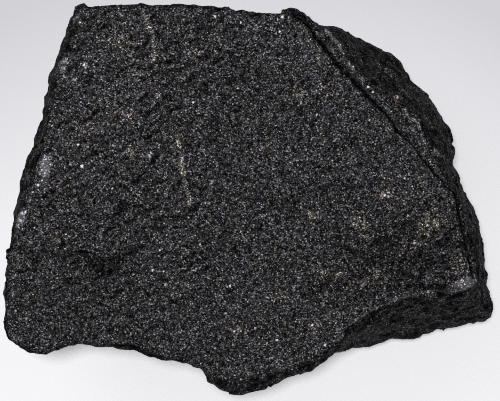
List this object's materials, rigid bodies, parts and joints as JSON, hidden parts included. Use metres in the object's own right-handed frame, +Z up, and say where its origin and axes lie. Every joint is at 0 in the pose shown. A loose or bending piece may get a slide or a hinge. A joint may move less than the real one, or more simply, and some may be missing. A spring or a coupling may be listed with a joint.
{
  "type": "basalt rock",
  "caption": "Hand specimen of black, fine-grained basalt: a broken slab with a broad rough face, a sharp side ridge and flaked walls, resting on a small flat spot.",
  "frame": {"origin": "middle of the stone's bounding box, at the level of the small flat spot that it rests on", "axes": "+X along the stone's longest side, +Z up, out of the broad rough face"},
  "size_m": [0.1042, 0.083, 0.0362],
  "materials": {
    "basalt": "fresh broken, dull, finely granular, black with pale specks"
  },
  "bodies": {
    "root": {"basalt_rock": "basalt"}
  },
  "joints": []
}
